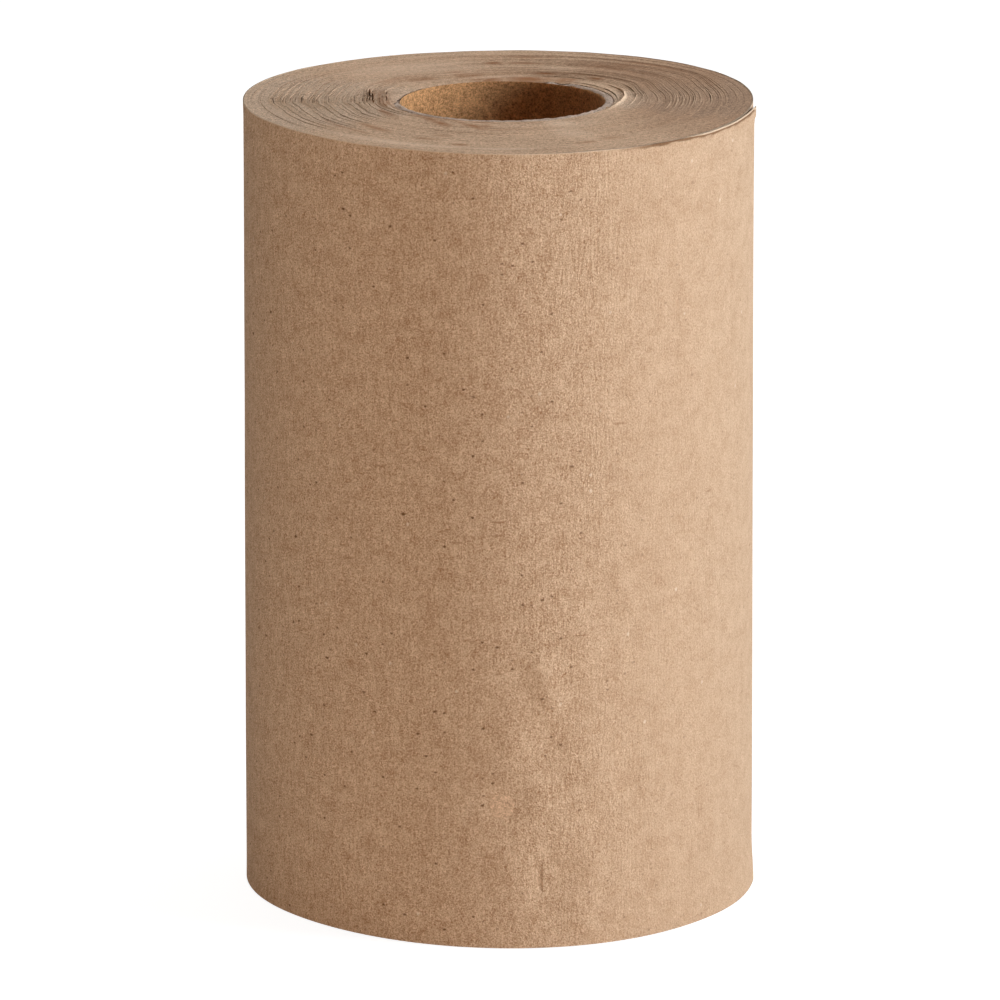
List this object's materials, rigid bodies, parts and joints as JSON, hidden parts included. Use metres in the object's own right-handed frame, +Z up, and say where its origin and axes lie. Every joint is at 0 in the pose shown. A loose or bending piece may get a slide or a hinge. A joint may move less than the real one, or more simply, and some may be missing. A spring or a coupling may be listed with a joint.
{
  "type": "paper towel roll",
  "caption": "Roll of brown crepe towel paper wound on a cardboard core tube, standing on its end, with a free tail.",
  "frame": {"origin": "middle of the roll's lower end, on the axis of the core bore", "axes": "+Z up along the roll's axis, +X towards the side where the web ends"},
  "size_m": [0.1277, 0.1272, 0.2],
  "materials": {
    "kraft_paper": "matt crepe",
    "core_board": "matt"
  },
  "bodies": {
    "root": {"paper_roll": "kraft_paper", "core_tube": "core_board"}
  },
  "joints": []
}
